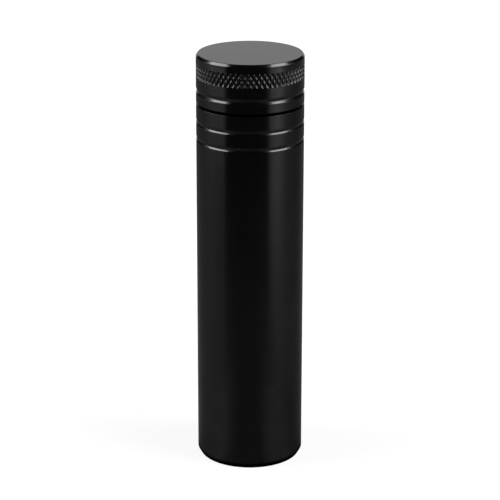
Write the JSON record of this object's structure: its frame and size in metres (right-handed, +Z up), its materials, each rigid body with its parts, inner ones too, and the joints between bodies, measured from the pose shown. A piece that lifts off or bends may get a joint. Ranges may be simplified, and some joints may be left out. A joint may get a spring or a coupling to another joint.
{
  "type": "screw-cap tube case",
  "caption": "Pocket-size cylindrical metal case with a knurled screw cap, ring grooves, a sealed threaded neck and a soft-lined bore for small slender items.",
  "frame": {"origin": "centre of the foot, on the surface that the case stands on", "axes": "+Z up the tube's axis, towards the cap; the cap turns about it"},
  "size_m": [0.0254, 0.0254, 0.1],
  "materials": {
    "anodised_body": "black anodised, satin, fine turning marks",
    "anodised_cap": "black anodised, satin, faced top, diamond knurl",
    "anodised_plug": "black anodised, faced",
    "seal_rubber": "smooth moulded nitrile",
    "liner_rubber": "matt sheet rubber",
    "pad_foam": "fine closed-cell foam",
    "sleeve_felt": "short-pile felt"
  },
  "bodies": {
    "tube": {"tube_body": "anodised_body", "base_plug": "anodised_plug", "base_pad": "pad_foam", "inner_sleeve": "sleeve_felt", "neck_o_ring": "seal_rubber"},
    "cap_seal": {"cap_gasket": "liner_rubber", "cap_pad": "pad_foam"},
    "cap": {"cap_shell": "anodised_cap"}
  },
  "joints": [
    {"name": "cap_rise", "type": "slide", "parent": "tube", "child": "cap_seal", "axis": [0, 0, 1], "range_m": [0, 0.01801]},
    {"name": "cap_turn", "type": "hinge", "parent": "cap_seal", "child": "cap", "pos_m": [0, 0, 0], "axis": [0, 0, 1], "range_deg": [0, 4320]}
  ],
  "couplings": [
    {"joint": "cap_rise", "follows": "cap_turn", "m_per_rad": 0.00023873}
  ]
}
